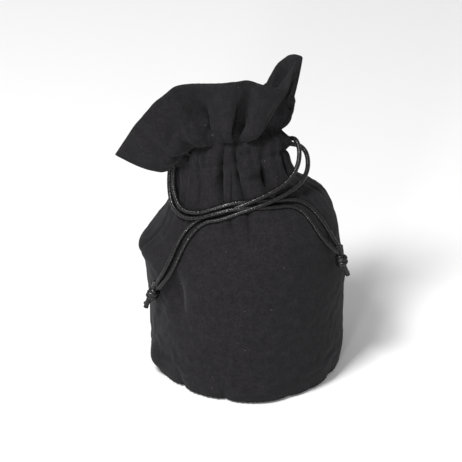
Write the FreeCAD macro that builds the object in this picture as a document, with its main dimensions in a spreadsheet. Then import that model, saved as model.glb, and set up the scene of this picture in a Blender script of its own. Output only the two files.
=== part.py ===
"""Drawstring dice bag: a round-based cloth bag with a drawn neck, a stitched casing and two satin drawstrings.

Frame: millimetres, +Z up, +X to the bag's right as seen from its front, +Y to its back.
The origin is the centre of the round base, on the surface that the bag stands on.
"""

import FreeCAD, Part  # noqa: E401

import math
import os

from FreeCAD import Placement, Rotation, Vector

# Driving dimensions, in millimetres and degrees. Each one is a cell of the spreadsheet, under its name.
DIMENSIONS = {
    "cloth": 0.8,  # thickness of one layer of cloth
    "heading_cloth": 1.7,  # the heading is two layers, folded over at the rim
    "facing_cloth": 1.0,  # the folded-in layer behind the casing
    "base_rad": 55.5,  # the round base, at its seam
    "allowance": 5.5,  # height of the base's turned-up seam allowance
    "seam_gap": 0.7,  # from the allowance to the wall, where the thread is
    "casing_room": 4.2,  # half height of the channel between the two stitched rows
    "casing_swell": 3.8,  # depth of that channel, for the drawstrings
    "channel_taper": 1.0,  # how far the channel's outer side comes in at its two ends
    "cord_dia": 2.6,  # satin drawstring
    "cord_lift": 1.5,  # each drawstring runs this far above or below the channel's middle
    "thread_dia": 0.5,  # sewing thread
    "thread_stand": 0.6,  # from the cloth to the centre of a thread that lies on it
    "seam_turn": 6.4,  # the side seams' turn about the vertical axis
    "seam_shift": -3.5,  # where the seams' plane crosses the X axis
    "slot_wide": 8.6,  # gap left in a side seam, where a drawstring's two ends come out
    "slot_high": 9.6,
    "slot_deep": 5.0,
    "slot_in": 0.5,  # how far the middle of the slot's cut lies inside the outer cloth's face
    "knot_long": 5.4,  # half length, half width and half depth of a knot
    "knot_wide": 4.2,
    "knot_deep": 3.6,
    "tail_long": 6.0,
}

# Outer rings of the wall: centre X, Y, Z, half width, half depth, tilt (right side up), lean (front up).
RINGS = {
    "hem": (0.0, 0.0, 0.8, 55.5, 55.5, 0.0, 0.0),
    "foot": (0.0, 0.0, 7.0, 58.0, 58.0, 0.0, 0.0),
    "belly": (0.0, 0.0, 45.0, 58.8, 58.8, 0.0, 0.0),
    "chest": (0.0, 0.0, 75.0, 58.5, 58.0, 3.0, 0.0),
    "shoulder": (-0.5, 0.0, 87.0, 57.0, 55.5, 6.0, 0.0),
    "brow": (-1.8, 0.0, 96.5, 52.0, 49.5, 8.0, 0.0),
    "collar": (-4.0, -1.0, 105.0, 43.0, 37.5, 8.0, 2.0),
    "throat": (-5.0, -3.0, 116.0, 33.0, 24.5, 8.0, 4.0),
    "neck": (-5.8, -2.4, 127.0, 31.0, 17.5, 9.0, 8.0),
    "low_row": (-6.6, -1.2, 138.0, 32.0, 15.5, 9.0, 12.0),
    "casing": (-7.5, 0.0, 144.0, 33.4, 16.9, 9.0, 12.0),
    "high_row": (-8.4, 1.2, 150.0, 32.0, 15.5, 9.0, 12.0),
    "flare": (-23.0, -4.0, 157.5, 53.0, 17.0, 14.0, 8.0),
    "rim": (-20.0, -7.0, 192.5, 52.5, 18.0, 6.0, 3.0),
}

# The heading's left end is cut on a slant, from this point on up to the right at this angle.
SLANT_FOOT = (-75.5, 145.5)
SLANT_ANGLE = 59.0

# Each drawstring's hidden run goes round the channel between these two angles, from its own exit and back.
RIGHT_RUN = (31.6, 351.6)
LEFT_RUN = (214.6, 174.6)

# Routes of the drawstrings' free strands: out of the casing and round the front to the pivot ...
STRANDS = {
    "right_front_strand": [
        (19.1, 6.5, 145.3),
        (25.3, 2.6, 148.2),
        (31.4, -1.0, 150.4),
        (34.2, -6.5, 145.5),
        (33.0, -12.5, 138.0),
        (27.0, -19.0, 132.0),
        (17.5, -24.8, 127.8),
        (6.5, -28.9, 124.0),
        (-5.5, -31.1, 119.8),
        (-16.0, -30.6, 115.2),
        (-26.6, -28.0, 111.3),
    ],
    "right_back_strand": [
        (22.8, -2.0, 147.5),
        (23.9, 1.0, 145.9),
        (27.4, 4.0, 143.8),
        (34.0, 4.6, 142.4),
        (38.8, -0.5, 139.5),
        (39.2, -8.5, 133.5),
        (34.8, -16.0, 129.0),
        (26.5, -22.0, 125.6),
        (16.5, -27.4, 122.6),
        (6.0, -31.2, 120.0),
        (-4.5, -32.4, 116.8),
        (-14.5, -33.3, 112.9),
        (-24.5, -31.0, 110.3),
    ],
    "left_back_strand": [
        (-38.1, 1.0, 140.5),
        (-39.6, -2.0, 139.9),
        (-43.2, -4.8, 137.0),
        (-46.0, -7.2, 132.0),
        (-46.2, -9.5, 123.5),
        (-43.0, -15.5, 118.6),
        (-35.5, -21.2, 117.4),
        (-26.0, -24.2, 119.2),
        (-16.0, -25.6, 122.2),
        (-5.0, -26.2, 123.6),
        (7.0, -25.4, 122.6),
        (17.5, -22.8, 121.4),
        (26.9, -18.6, 119.9),
    ],
    "left_front_strand": [
        (-33.2, -7.1, 143.0),
        (-39.6, -3.8, 143.0),
        (-45.8, -1.2, 139.6),
        (-49.2, -1.2, 132.0),
        (-49.6, -4.8, 123.4),
        (-47.0, -12.8, 115.8),
        (-39.5, -20.6, 112.9),
        (-29.0, -24.6, 115.0),
        (-17.5, -26.8, 118.9),
        (-6.0, -27.7, 120.6),
        (6.0, -28.1, 119.6),
        (16.5, -26.2, 118.9),
        (25.7, -21.3, 118.2),
    ],
}

# ... and from the pivot down to the knot.
ENDS = {
    "left_tie_upper_end": [
        (-28.3, -27.7, 109.9),
        (-34.7, -29.4, 104.8),
        (-39.9, -32.8, 97.0),
        (-44.2, -36.4, 87.8),
        (-48.6, -37.0, 78.0),
        (-52.9, -34.4, 69.2),
    ],
    "left_tie_lower_end": [
        (-26.2, -30.6, 108.9),
        (-32.0, -33.0, 103.2),
        (-36.8, -35.8, 95.4),
        (-41.2, -39.2, 86.2),
        (-46.0, -40.0, 76.8),
        (-51.2, -36.9, 68.4),
    ],
    "right_tie_upper_end": [
        (28.9, -18.3, 118.7),
        (35.6, -17.7, 115.9),
        (42.6, -19.3, 110.3),
        (48.6, -21.6, 102.4),
        (53.4, -23.4, 94.4),
        (56.8, -24.2, 88.3),
    ],
    "right_tie_lower_end": [
        (27.5, -21.5, 116.8),
        (33.8, -22.6, 113.4),
        (39.8, -25.0, 107.6),
        (45.4, -27.9, 100.6),
        (51.0, -28.6, 93.6),
        (55.2, -27.2, 88.0),
    ],
}

# Centre of each knot, the way its long axis points, and where its two tails point.
KNOTS = {
    "left": ((-54.7, -31.4, 62.6), (0.30, -0.22, 0.93), [(-0.62, 0.30, -0.72), (-0.30, -0.10, -0.95)]),
    "right": ((57.0, -26.0, 82.4), (-0.16, 0.12, 0.98), [(0.34, 0.10, -0.94), (0.62, 0.22, -0.75)]),
}

FOLDED = ("low_row", "casing", "high_row", "flare", "rim")  # the rings where the cloth is two layers
RING_WORDS = ("shift", "back", "height", "halfwide", "halfdeep", "tilt", "lean")
SEAM_RINGS = ("foot", "belly", "chest", "shoulder", "brow", "collar", "throat", "neck")
SLOT_ANGLES = (12.0, 195.6)  # where the seams' plane meets the casing, round its centre
SEAM_INSET = 2.4  # from the cloth's inner face to a side seam's thread
ROW_DROP = 0.8  # a stitched row's thread lies this far below the row's ring
FACING_EDGE = 0.4  # how far the folded-in layer stands clear of the channel's ends
BASE_ROW = 3.2  # height of the base seam's thread above the hem
BELOW = 1.0  # how far the room inside reaches past the hem and the rim, to cut them clean through
CLEAR = 200.0  # larger than the bag, for the boxes that cut it in halves
ARC_SHARE = 0.45  # the part of a run that an arc takes up at each of its ends
TUBE_SLACK = 0.02

doc = FreeCAD.newDocument("dice_bag")
sheet = doc.addObject("Spreadsheet::Sheet", "Dimensions")


def fill_sheet():
    """Puts the driving dimensions and the rings into the spreadsheet, each value under an alias."""
    values = dict(DIMENSIONS)
    for ring, sizes in RINGS.items():
        for word, value in zip(RING_WORDS, sizes):
            values[f"{ring}_{word}"] = value
    for row, (alias, value) in enumerate(values.items(), start=1):
        sheet.set(f"A{row}", alias)
        sheet.set(f"B{row}", str(value))
        sheet.setAlias(f"B{row}", alias)
    doc.recompute()


def size(alias):
    """One value of the spreadsheet, for the shapes and places that code works out."""
    return float(getattr(sheet, alias))


def bind(item, **expressions):
    """Binds an object's sizes to the spreadsheet, as in bind(item, Radius="cord_dia / 2")."""
    for name, expression in expressions.items():
        words = [f"Dimensions.{word}" if word[0].isalpha() else word for word in expression.split()]
        item.setExpression(name, " ".join(words))


def ring_place(ring, spot=(0.0, 0.0, 0.0), turn=Rotation()):
    """A placement in a ring's own frame, whose Z is the ring's axis."""
    middle = Vector(size(f"{ring}_shift"), size(f"{ring}_back"), size(f"{ring}_height"))
    slope = Rotation(0.0, -size(f"{ring}_tilt"), -size(f"{ring}_lean"))
    return Placement(middle, slope).multiply(Placement(Vector(*spot), turn))


def ring_ellipse(ring, inset="0", rise=0.0, angles=(0.0, 360.0)):
    """A ring's ellipse or an arc of it, drawn in by an inset and moved along the ring's axis by a rise."""
    ellipse = doc.addObject("Part::Ellipse", f"{ring}_ring")
    ellipse.Placement = ring_place(ring, (0.0, 0.0, rise))
    ellipse.Angle1, ellipse.Angle2 = angles
    bind(ellipse, MajorRadius=f"{ring}_halfwide - ( {inset} )", MinorRadius=f"{ring}_halfdeep - ( {inset} )")
    return ellipse


def loft(name, ellipses):
    """A solid through a stack of ellipses, straight from each one to the next."""
    solid = doc.addObject("Part::Loft", name)
    solid.Sections = ellipses
    solid.Solid = True
    solid.Ruled = True
    return solid


def boolean(kind, name, base, tool):
    """A cut, common or fuse of two objects."""
    item = doc.addObject(f"Part::{kind}", name)
    item.Base, item.Tool = base, tool
    return item


def ring_sweep(name, ring, section, inset, rise=0.0, angles=(0.0, 360.0)):
    """A section carried round a ring. The section is a circle or an ellipse whose long axis is the ring's."""
    spine = ring_ellipse(ring, inset, rise, angles)
    doc.recompute()
    edge = spine.Shape.Edges[0]
    start = edge.FirstParameter
    tangent = edge.tangentAt(start)
    axis = spine.Placement.Rotation.multVec(Vector(0, 0, 1))
    section.Placement = Placement(edge.valueAt(start), Rotation(axis, Vector(), tangent, "ZXY"))
    sweep = doc.addObject("Part::Sweep", name)
    sweep.Sections = [section]
    sweep.Spine = (spine, ["Edge1"])
    sweep.Solid = True
    return sweep


def cord_section(diameter="cord_dia"):
    """The round section of a cord or a thread."""
    circle = doc.addObject("Part::Circle", "cord_section")
    bind(circle, Radius=f"{diameter} / 2")
    return circle


def seam_place(spot=(0.0, 0.0, 0.0)):
    """A placement in the side seams' frame, whose X runs along their plane towards the bag's right."""
    turn = Rotation(Vector(0, 0, 1), size("seam_turn"))
    return Placement(Vector(size("seam_shift"), 0.0, 0.0), turn).multiply(Placement(Vector(*spot), Rotation()))


def half_box(name, front):
    """A box that holds everything on the front or on the back of the side seams' plane."""
    box = doc.addObject("Part::Box", name)
    box.Length, box.Width, box.Height = 2 * CLEAR, CLEAR, 2 * CLEAR
    box.Placement = seam_place((-CLEAR, -CLEAR if front else 0.0, -CLEAR / 2))
    return box


def make_slot(turned):
    """The gap in a side seam, through the outer cloth of the casing, at an angle round the casing's centre."""
    box = doc.addObject("Part::Box", "seam_slot")
    bind(box, Length="slot_deep", Width="slot_wide", Height="slot_high")
    wide, deep = size("casing_halfwide"), size("casing_halfdeep")
    angle = math.radians(turned)
    spot = Vector(wide * math.cos(angle), deep * math.sin(angle), 0.0)
    outward = math.degrees(math.atan2(math.sin(angle) / deep, math.cos(angle) / wide))
    corner = Vector(-size("slot_in") - size("slot_deep") / 2, -size("slot_wide") / 2, -size("slot_high") / 2)
    turn = Rotation(Vector(0, 0, 1), outward)
    box.Placement = ring_place("casing", spot, turn).multiply(Placement(corner, Rotation()))
    return box


def make_channel():
    """The ring of empty space in the casing, between the outer cloth and the folded-in layer."""
    half = size("casing_room")
    outer = loft("channel_outer", [
        ring_ellipse("casing", "cloth + channel_taper", rise=-half),
        ring_ellipse("casing", "cloth"),
        ring_ellipse("casing", "cloth + channel_taper", rise=half),
    ])
    inner_rings = [ring_ellipse("casing", "cloth + casing_swell", rise=rise) for rise in (-half, half)]
    inner = loft("channel_inner", inner_rings)
    return boolean("Cut", "channel", outer, inner)


def make_slant():
    """A box whose lower face cuts the heading's left end on its slant."""
    box = doc.addObject("Part::Box", "slant_box")
    box.Length, box.Width, box.Height = 2 * CLEAR, 2 * CLEAR, CLEAR
    turn = Rotation(Vector(0, -1, 0), SLANT_ANGLE)
    foot = Vector(SLANT_FOOT[0], 0.0, SLANT_FOOT[1])
    box.Placement = Placement(foot, turn).multiply(Placement(Vector(-CLEAR, -CLEAR, 0.0), Rotation()))
    return box


def make_panels():
    """The side panels: each is one piece of cloth from the hem up to the rim, folded in behind the casing."""
    form = loft("outer_form", [ring_ellipse(ring) for ring in RINGS])
    single = [ring for ring in RINGS if ring not in FOLDED]
    room_rings = [ring_ellipse("hem", "cloth", rise=-BELOW)]
    room_rings += [ring_ellipse(ring, "cloth") for ring in single]
    facing, room_high = "cloth + casing_swell + facing_cloth", size("casing_room") + FACING_EDGE
    room_rings += [
        ring_ellipse("low_row", "heading_cloth"),
        ring_ellipse("casing", facing, rise=-room_high),
        ring_ellipse("casing", facing, rise=room_high),
        ring_ellipse("high_row", "heading_cloth"),
        ring_ellipse("flare", "heading_cloth"),
        ring_ellipse("rim", "heading_cloth", rise=BELOW),
    ]
    openings = doc.addObject("Part::MultiFuse", "casing_openings")
    openings.Shapes = [make_channel()] + [make_slot(turned) for turned in SLOT_ANGLES]
    cloth = form
    for tool in (loft("bag_room", room_rings), openings, make_slant()):
        cloth = boolean("Cut", "cloth", cloth, tool)
    return [
        labelled(boolean("Common", "front_half", cloth, half_box("front_box", True)), "front_panel"),
        labelled(boolean("Common", "back_half", cloth, half_box("back_box", False)), "back_panel"),
    ]


def labelled(item, node):
    """Gives a finished sub-part its node's name."""
    item.Label = node
    return item


def cylinder(name, radius, height, low=0.0):
    """An upright cylinder on the bag's axis, bound to the spreadsheet."""
    item = doc.addObject("Part::Cylinder", name)
    bind(item, Radius=radius, Height=height)
    item.Placement.Base.z = low
    return item


def make_base():
    """The round base, with its seam allowance turned up inside the wall."""
    disc = cylinder("base_disc", "base_rad", "cloth")
    outer = cylinder("allowance_outer", "base_rad - cloth - seam_gap", "cloth + allowance")
    inner = cylinder("allowance_inner", "base_rad - 2 * cloth - seam_gap", "allowance + 1", size("cloth"))
    rim = boolean("Cut", "allowance_rim", outer, inner)
    return labelled(boolean("Fuse", "base", disc, rim), "base_panel")


def make_stitch_rings():
    """The sewing threads that run round the bag: two rows on the casing and one in the base seam."""
    high = ring_sweep("high_thread", "high_row", cord_section("thread_dia"), "0 - thread_stand", rise=-ROW_DROP)
    low = ring_sweep("low_thread", "low_row", cord_section("thread_dia"), "0 - thread_stand", rise=-ROW_DROP)
    base = ring_sweep("base_thread", "hem", cord_section("thread_dia"), "cloth + seam_gap / 2", rise=BASE_ROW)
    return [
        labelled(high, "upper_casing_stitch"),
        labelled(low, "lower_casing_stitch"),
        labelled(base, "base_seam_stitch"),
    ]


def make_runs():
    """The stretches of the two drawstrings that lie hidden in the casing."""
    middle = "cloth + casing_swell / 2"
    lift = size("cord_lift")
    right = ring_sweep("right_run", "casing", cord_section(), middle, -lift, RIGHT_RUN)
    left = ring_sweep("left_run", "casing", cord_section(), middle, lift, LEFT_RUN)
    return [labelled(right, "right_drawstring_run"), labelled(left, "left_drawstring_run")]


def rounded_path(points):
    """Straight runs joined by tangent arcs, each arc as large as its two runs allow; also the arcs' radii."""
    corners = [Vector(*point) for point in points]
    edges, radii = [], []
    start = corners[0]
    for before, corner, after in zip(corners, corners[1:], corners[2:]):
        to_corner = (corner - before).normalize()
        from_corner = (after - corner).normalize()
        reach = ARC_SHARE * min((corner - before).Length, (after - corner).Length)
        turn = to_corner.getAngle(from_corner)
        radius = reach / math.tan(turn / 2)
        begin, end = corner - to_corner * reach, corner + from_corner * reach
        inside = (from_corner - to_corner).normalize()
        middle = corner + inside * (radius / math.cos(turn / 2) - radius)
        edges += [Part.LineSegment(start, begin).toShape(), Part.Arc(begin, middle, end).toShape()]
        radii.append(radius)
        start = end
    edges.append(Part.LineSegment(start, corners[-1]).toShape())
    return Part.Wire(edges), radii


def make_tube(node, points, diameter):
    """A plain round tube along a rounded path."""
    path, radii = rounded_path(points)
    first = (Vector(*points[1]) - Vector(*points[0])).normalize()
    section = Part.Wire(Part.Circle(Vector(*points[0]), first, diameter / 2).toShape())
    shape = path.makePipeShell([section], True, False)
    ratio = shape.Volume / (path.Length * math.pi * diameter**2 / 4)
    print(f"{node}: {path.Length:.1f} mm long, arcs {min(radii):.1f} to {max(radii):.1f} mm, volume {ratio:.3f}")
    if abs(ratio - 1.0) > TUBE_SLACK:
        raise RuntimeError(f"{node} is not a clean tube")
    tube = doc.addObject("Part::Feature", node)
    tube.Shape = shape
    return labelled(tube, node)


def make_side_seam(node, side):
    """The thread of one side seam, inside the bag, from just above the base up to the casing."""
    points = []
    for ring in SEAM_RINGS:
        reach = size(f"{ring}_halfwide") - size("cloth") - SEAM_INSET
        slope = math.radians(size(f"{ring}_tilt"))
        along = size(f"{ring}_shift") - size("seam_shift") + side * reach * math.cos(slope)
        height = size(f"{ring}_height") + side * reach * math.sin(slope)
        points.append(tuple(seam_place((along, 0.0, height)).Base))
    return make_tube(node, points, size("thread_dia"))


def make_knot(side):
    """A knot of two cords, and the two tails that stand out below it."""
    centre, axis, tail_ways = KNOTS[side]
    knot = doc.addObject("Part::Ellipsoid", f"{side}_knot_form")
    bind(knot, Radius1="knot_long", Radius2="knot_deep", Radius3="knot_wide")
    outward = Vector(centre[0], centre[1], 0.0)
    turn = Rotation(outward, Vector(), Vector(*axis), "ZXY")
    knot.Placement = Placement(Vector(*centre), turn)
    tails = []
    for way in tail_ways:
        tail = doc.addObject("Part::Cylinder", f"{side}_tail")
        bind(tail, Radius="cord_dia / 2", Height="knot_long + tail_long")
        tail.Placement = Placement(Vector(*centre), Rotation(Vector(0, 0, 1), Vector(*way)))
        tails.append(tail)
    knotted = doc.addObject("Part::MultiFuse", f"{side}_knotted")
    knotted.Shapes = [knot] + tails
    return labelled(knotted, f"{side}_knot")


def checked(items):
    """Recomputes the document and stops if anything in it is broken."""
    doc.recompute()
    for item in doc.Objects:
        if "Invalid" in item.State or "Error" in item.State:
            raise RuntimeError(f"{item.Label} is {item.State}")
    for item in items:
        shape = item.Shape
        if shape.isNull() or not shape.isValid() or shape.Volume <= 0:
            raise RuntimeError(f"{item.Label} is not a valid solid")
        print(f"{item.Label}: {len(shape.Solids)} solid, {shape.Volume:.1f} mm3")
    return items


def main():
    """Builds every sub-part, checks it and writes one STEP file for each."""
    fill_sheet()
    items = make_panels() + [make_base()] + make_stitch_rings() + make_runs()
    items.append(make_side_seam("right_side_seam_stitch", 1))
    items.append(make_side_seam("left_side_seam_stitch", -1))
    for node, points in {**STRANDS, **ENDS}.items():
        items.append(make_tube(node, points, size("cord_dia")))
    items += [make_knot("left"), make_knot("right")]
    os.makedirs("parts", exist_ok=True)
    for item in checked(items):
        item.Shape.exportStep(f"parts/{item.Label}.step")


main()
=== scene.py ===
"""The looks of a small black cotton drawstring bag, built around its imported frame.

Lengths in the tables are millimetres in the frame's own axes: X to the bag's right, Y to its back,
Z up. The cloth is one tube, worked out as a grid of columns round the bag and rows up it, then cut
into a front and a back panel at the side seams. Angles are degrees round a ring, 0 at the right
and 270 at the front.
"""

import math

import bpy
import numpy as np
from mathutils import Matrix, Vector
from mathutils.kdtree import KDTree


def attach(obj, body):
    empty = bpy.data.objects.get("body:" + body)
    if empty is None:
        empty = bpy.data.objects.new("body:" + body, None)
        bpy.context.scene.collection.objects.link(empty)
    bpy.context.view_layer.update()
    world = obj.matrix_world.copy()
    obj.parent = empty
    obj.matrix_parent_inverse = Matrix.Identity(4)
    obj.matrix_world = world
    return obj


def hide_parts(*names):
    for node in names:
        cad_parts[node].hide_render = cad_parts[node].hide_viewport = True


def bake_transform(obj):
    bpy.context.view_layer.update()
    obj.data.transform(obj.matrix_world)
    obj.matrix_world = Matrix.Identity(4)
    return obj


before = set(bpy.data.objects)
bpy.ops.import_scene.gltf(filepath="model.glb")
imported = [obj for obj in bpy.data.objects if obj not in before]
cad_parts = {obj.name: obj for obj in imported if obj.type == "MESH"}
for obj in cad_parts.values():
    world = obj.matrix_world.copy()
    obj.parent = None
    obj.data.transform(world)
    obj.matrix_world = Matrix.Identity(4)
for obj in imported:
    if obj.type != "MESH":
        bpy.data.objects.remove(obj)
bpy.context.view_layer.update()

MM = 0.001

# ---------------------------------------------------------------- camera and cords

AIM = (-8.4, 0.0, 86.3)
CAMERA_ELEVATION = 30.0
CAMERA_DISTANCE = 2500.0
FIELD = 277.2  # width of the picture at the aim, in mm
SENSOR = 36.0


def make_camera():
    """A long lens from the front, looking down on the bag."""
    data = bpy.data.cameras.new("camera")
    data.sensor_width = SENSOR
    data.lens = SENSOR * CAMERA_DISTANCE / FIELD
    camera = bpy.data.objects.new("camera", data)
    bpy.context.scene.collection.objects.link(camera)
    rise = math.radians(CAMERA_ELEVATION)
    back = Vector((0.0, -math.cos(rise), math.sin(rise)))
    camera.location = (Vector(AIM) + back * CAMERA_DISTANCE) * MM
    camera.rotation_mode = "QUATERNION"
    camera.rotation_quaternion = (-back).to_track_quat("-Z", "Y")
    bpy.context.scene.camera = camera


CORD = 2.6  # diameter of the satin cord
CORD_SKIN = 1.45  # its radius over the crests of its ribs
CORD_SIDES = 20
CORD_RIBS = 4
RIB_LEAD = 5.2  # how far along the cord a rib goes once round
RIB_DEPTH = 0.10
CORD_STEPS = 36  # spline steps between two points of a route

# Each visible cord leaves its slot, crosses the neck and hangs down to its knot.
ROUTES = {
    "right_cord_a": [
        (19.1, 6.5, 145.3), (25.3, 2.6, 148.2), (30.0, -1.0, 150.4), (32.4, -6.5, 145.5),
        (31.4, -12.5, 138.0), (26.0, -19.2, 131.6), (17.5, -24.8, 127.8), (6.5, -28.9, 124.0),
        (-5.5, -31.1, 119.8), (-16.0, -30.6, 115.2), (-26.6, -28.0, 111.3), (-34.7, -29.4, 104.8),
        (-39.9, -32.8, 97.0), (-44.2, -36.4, 87.8), (-48.6, -37.0, 78.0), (-52.9, -34.4, 69.2),
    ],
    "right_cord_b": [
        (22.8, -2.0, 147.5), (23.9, 1.0, 145.9), (27.4, 4.0, 143.8), (33.0, 4.6, 142.4),
        (37.0, -0.5, 139.5), (37.4, -8.5, 133.5), (33.4, -16.2, 128.8), (26.5, -22.0, 125.6),
        (16.5, -27.4, 122.6), (6.0, -31.2, 120.0), (-4.5, -32.4, 116.8), (-14.5, -33.3, 112.9),
        (-24.5, -31.0, 110.3), (-32.0, -33.0, 103.2), (-36.8, -35.8, 95.4), (-41.2, -39.2, 86.2),
        (-46.0, -40.0, 76.8), (-51.2, -36.9, 68.4),
    ],
    "left_cord_a": [
        (-38.1, 1.0, 140.5), (-39.6, -2.0, 139.9), (-41.6, -5.4, 136.6), (-42.6, -8.4, 131.0),
        (-42.8, -12.4, 123.5), (-40.6, -19.0, 117.4), (-36.5, -25.0, 114.4), (-27.5, -29.0, 115.0),
        (-17.0, -30.2, 119.4), (-6.0, -29.8, 122.8), (6.0, -28.4, 122.8), (17.5, -25.6, 121.6),
        (26.9, -21.6, 120.6), (35.2, -19.4, 117.0), (42.2, -20.6, 110.6), (48.2, -23.4, 102.6),
        (52.6, -25.4, 94.6), (56.4, -25.4, 88.3),
    ],
    "left_cord_b": [
        (-33.2, -7.1, 143.0), (-39.6, -3.8, 143.0), (-43.0, -2.6, 139.0), (-44.8, -4.6, 131.4),
        (-45.2, -9.4, 121.6), (-43.4, -17.4, 113.8), (-38.0, -25.0, 110.6), (-29.5, -29.6, 111.4),
        (-18.0, -32.0, 116.4), (-6.5, -31.6, 119.6), (6.0, -30.6, 119.4), (16.5, -28.0, 118.2),
        (25.7, -24.0, 117.6), (33.4, -24.0, 114.6), (38.8, -26.6, 108.6), (43.6, -29.4, 101.4),
        (49.6, -30.6, 94.0), (54.6, -28.6, 88.4),
    ],
}
REPLACED = {
    "right_cord_a": ("right_front_strand", "left_tie_upper_end"),
    "right_cord_b": ("right_back_strand", "left_tie_lower_end"),
    "left_cord_a": ("left_back_strand", "right_tie_upper_end"),
    "left_cord_b": ("left_front_strand", "right_tie_lower_end"),
}

KNOTS = {
    "left": ((-54.7, -31.4, 62.6), (0.30, -0.22, 0.93), ((-0.62, 0.30, -0.72), (-0.30, -0.10, -0.95))),
    "right": ((57.0, -26.0, 82.4), (-0.16, 0.12, 0.98), ((0.34, 0.10, -0.94), (0.62, 0.22, -0.75))),
}
TAIL = 6.5


def spline_points(route, steps=CORD_STEPS):
    """The points of a smooth NURBS line that has the route as its control points."""
    curve = bpy.data.curves.new("route", "CURVE")
    curve.dimensions = "3D"
    spline = curve.splines.new("NURBS")
    spline.points.add(len(route) - 1)
    for point, place in zip(spline.points, route):
        point.co = (*place, 1.0)
    spline.order_u = 3
    spline.use_endpoint_u = True
    spline.resolution_u = steps
    item = bpy.data.objects.new("route", curve)
    line = bpy.data.meshes.new_from_object(item)
    points = np.array([v.co for v in line.vertices])
    bpy.data.meshes.remove(line)
    bpy.data.objects.remove(item)
    bpy.data.curves.remove(curve)
    return points


def along(points):
    """Distance along a line at each of its points."""
    steps = np.linalg.norm(np.diff(points, axis=0), axis=1)
    return np.concatenate([[0.0], np.cumsum(steps)])


def unit(vectors):
    """The same vectors, each one long."""
    vectors = np.asarray(vectors, float)
    return vectors / np.linalg.norm(vectors, axis=-1, keepdims=True)


def carried_frames(points):
    """Two directions across a line at each of its points, carried along it without twisting."""
    tangents = unit(np.gradient(points, axis=0))
    side = np.cross(tangents[0], (0.3, 0.2, 0.93))
    sides = []
    for tangent in tangents:
        side = side - tangent * side.dot(tangent)
        side = side / np.linalg.norm(side)
        sides.append(side)
    sides = np.array(sides)
    return sides, np.cross(tangents, sides)


def grid_faces(rows, columns, closed=True):
    """Four-sided faces of a grid of places, row by row, that may close round on itself."""
    faces = []
    for row in range(rows - 1):
        low, high = row * columns, (row + 1) * columns
        for k in range(columns if closed else columns - 1):
            after = (k + 1) % columns
            faces.append((low + k, low + after, high + after, high + k))
    return faces


def tube(points, radius, sides=CORD_SIDES, ribs=0, depth=0.0, lead=1.0):
    """Vertices and faces of a closed tube along a line, with ribs that wind round it."""
    across, up = carried_frames(points)
    radius = np.broadcast_to(np.asarray(radius, float), len(points))
    turn = np.linspace(0.0, 2 * math.pi, sides, endpoint=False)
    wave = np.cos(ribs * (turn[None, :] - 2 * math.pi * along(points)[:, None] / lead))
    size = radius[:, None] - depth * (1.0 - wave) / 2 * (radius[:, None] / radius.max())
    cosine, sine = np.cos(turn)[None, :, None], np.sin(turn)[None, :, None]
    ring = across[:, None, :] * cosine + up[:, None, :] * sine
    vertices = (points[:, None, :] + ring * size[:, :, None]).reshape(-1, 3)
    faces = grid_faces(len(points), sides)
    faces.append(tuple(reversed(range(sides))))
    faces.append(tuple((len(points) - 1) * sides + k for k in range(sides)))
    return vertices, faces


def joined(parts):
    """Several sets of vertices and faces as one."""
    vertices, faces, start = [], [], 0
    for part_vertices, part_faces in parts:
        vertices.append(part_vertices)
        faces += [tuple(i + start for i in face) for face in part_faces]
        start += len(part_vertices)
    return np.concatenate(vertices), faces


def mesh_piece(name, vertices, faces, material, material_slot, flat_map=None):
    """A smooth-shaded mesh object, from vertices in millimetres."""
    mesh = bpy.data.meshes.new(name)
    mesh.from_pydata((np.asarray(vertices) * MM).tolist(), [], faces)
    mesh.polygons.foreach_set("use_smooth", [True] * len(mesh.polygons))
    if flat_map is not None:
        layer = mesh.uv_layers.new(name="flat_cloth")
        corners = np.zeros(len(mesh.loops), int)
        mesh.loops.foreach_get("vertex_index", corners)
        layer.data.foreach_set("uv", (flat_map[corners] * MM).ravel())
    mesh.validate()
    mesh.update()
    piece = bpy.data.objects.new(name, mesh)
    bpy.context.scene.collection.objects.link(piece)
    piece.data.materials.append(material)
    return piece


def make_cords(satin):
    """The four visible stretches of drawstring, each from its slot to its knot."""
    for name, route in ROUTES.items():
        points = spline_points(route)
        vertices, faces = tube(points, CORD_SKIN, CORD_SIDES, CORD_RIBS, RIB_DEPTH, RIB_LEAD)
        piece = mesh_piece(name, vertices, faces, satin, "satin_cord")
        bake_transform(piece)
        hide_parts(*REPLACED[name])


# A doubled overhand knot, in its own frame: Z up the cords, in mm. Each of its two cords comes down
# through the middle, turns out and up round the others, and tucks in under the wrap to its tail.
KNOT_TURNS = 1.35
WRAP_RADIUS = 2.9
WRAP_RISE = 3.1
WRAP_SQUASH = 0.86
WRAP_START = -20.0  # degrees
WRAP_FOOT = -2.3
WRAP_POINTS = 11
STRAND_GAP = 2.35
KNOT_STEPS = 14
TAIL_POINTS = (0.35, 0.75, 1.1)
TAIL_FLARE = 1.06  # the cut end is a little wider than the cord
FLARED_STEPS = 6


def knot_strand(which):
    """One of the two cords of a knot, in the knot's frame, down to where its tail begins."""
    side = -1.0 if which == 0 else 1.0
    route = [(1.1 * side, 0.5, 8.6), (1.0 * side, 0.3, 5.4), (0.9 * side, 0.2, 2.4)]
    route.append((0.7, 0.5 * side, -0.8))
    shift = STRAND_GAP / 2 * side
    for k in range(WRAP_POINTS):
        share = k / (WRAP_POINTS - 1)
        turn = math.radians(WRAP_START) + 2 * math.pi * KNOT_TURNS * share
        out = WRAP_RADIUS * (0.72 + 0.28 * math.sin(math.pi * min(1.0, share * 1.25 + 0.1)))
        height = WRAP_FOOT + WRAP_RISE * share + shift
        route.append((out * math.cos(turn), WRAP_SQUASH * out * math.sin(turn), height))
    route += [(0.4 * side, 0.8, 0.4), (0.8 * side, 0.4, -2.6), (1.1 * side, 0.2, -4.8)]
    return route


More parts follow.
